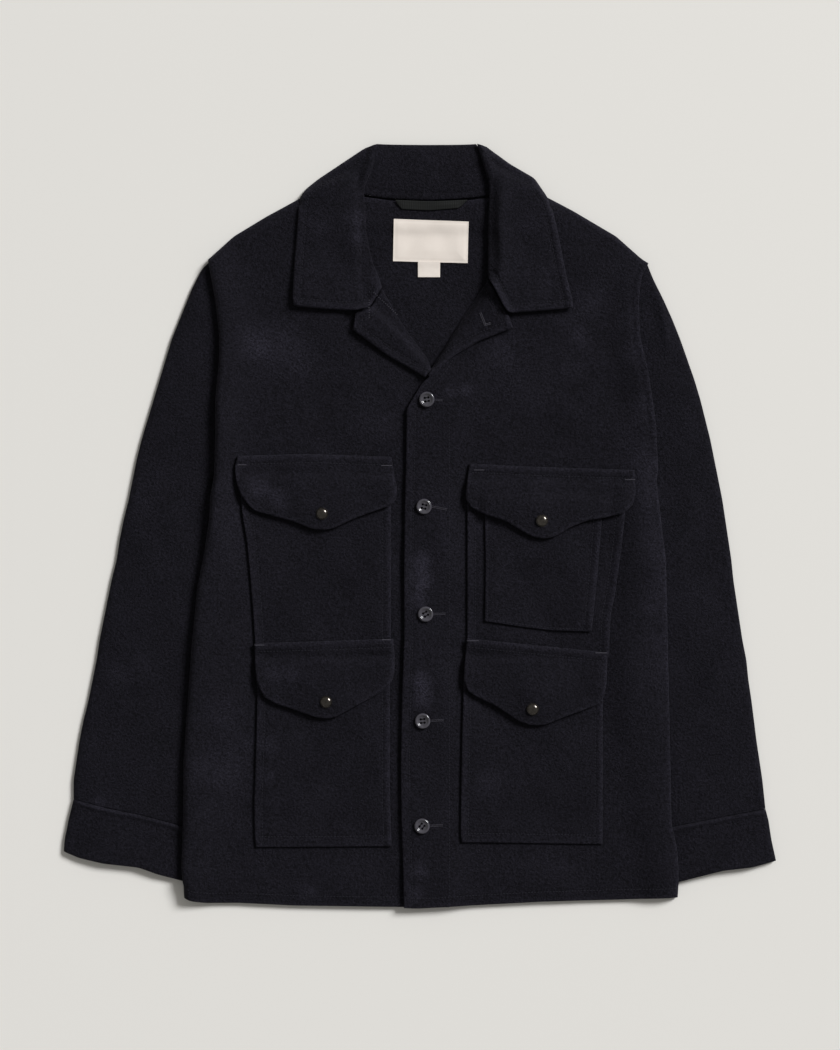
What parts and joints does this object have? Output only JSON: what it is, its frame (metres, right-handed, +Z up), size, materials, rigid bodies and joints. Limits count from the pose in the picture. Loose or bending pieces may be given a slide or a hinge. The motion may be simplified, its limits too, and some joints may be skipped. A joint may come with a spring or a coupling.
{
  "type": "mackinaw jacket",
  "caption": "Thick wool mackinaw jacket laid flat, face up, buttoned down the front, with a notched collar, patch pockets and scalloped snap flaps.",
  "frame": {"origin": "centre of the jacket's outline, on the surface that it lies on", "axes": "+Y from hem to collar, +X towards the wearer's left side, +Z up off the surface, through the front"},
  "size_m": [0.7832, 0.8405, 0.0254],
  "materials": {
    "wool": "heavy brushed navy wool twill",
    "tape": "smooth dark woven tape",
    "label": "plain off-white woven label",
    "button": "glossy dark polyester resin",
    "snap": "blackened, softly polished"
  },
  "bodies": {
    "root": {"back": "wool", "front_right": "wool", "front_left": "wool", "sleeve_right": "wool", "sleeve_left": "wool", "cuff_right": "wool", "cuff_left": "wool", "collar_back": "wool", "collar_right": "wool", "collar_left": "wool", "lapel_right": "wool", "lapel_left": "wool", "pocket_chest_right": "wool", "pocket_chest_left": "wool", "pocket_small_left": "wool", "pocket_lower_right": "wool", "pocket_lower_left": "wool", "flap_chest_right": "wool", "flap_chest_left": "wool", "flap_lower_right": "wool", "flap_lower_left": "wool", "hanger_loop": "tape", "neck_label": "label", "size_tag": "label", "button_1": "button", "button_2": "button", "button_3": "button", "button_4": "button", "button_5": "button", "snap_chest_right": "snap", "snap_chest_left": "snap", "snap_lower_right": "snap", "snap_lower_left": "snap"}
  },
  "joints": []
}
